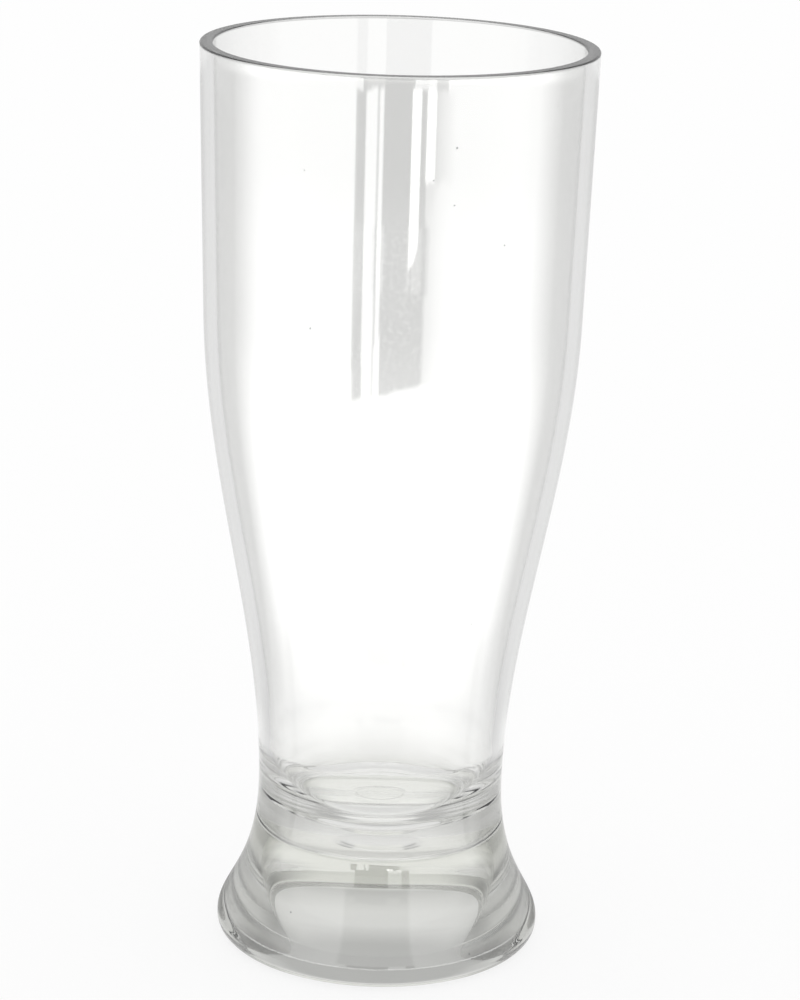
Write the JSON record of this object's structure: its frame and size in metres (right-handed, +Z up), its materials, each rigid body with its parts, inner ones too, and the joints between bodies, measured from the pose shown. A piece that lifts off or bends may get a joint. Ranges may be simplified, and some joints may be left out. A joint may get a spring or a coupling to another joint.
{
  "type": "pilsner glass",
  "caption": "Tall clear plastic pilsner glass: a flared bowl with a flat-topped lip, narrowing to a waist above a hollow bell-shaped foot; holds a drink.",
  "frame": {"origin": "centre of the standing ring, on the surface that the glass stands on", "axes": "+Z up along the glass's axis of revolution, towards the lip; the glass is the same from every side, so +X and +Y are arbitrary"},
  "size_m": [0.0842, 0.0842, 0.2],
  "materials": {
    "bowl_plastic": "clear, polished",
    "foot_plastic": "clear, polished, lightly scuffed underneath",
    "weld_plastic": "clear, fused"
  },
  "bodies": {
    "root": {"bowl": "bowl_plastic", "foot": "foot_plastic", "weld_ring": "weld_plastic"}
  },
  "joints": []
}
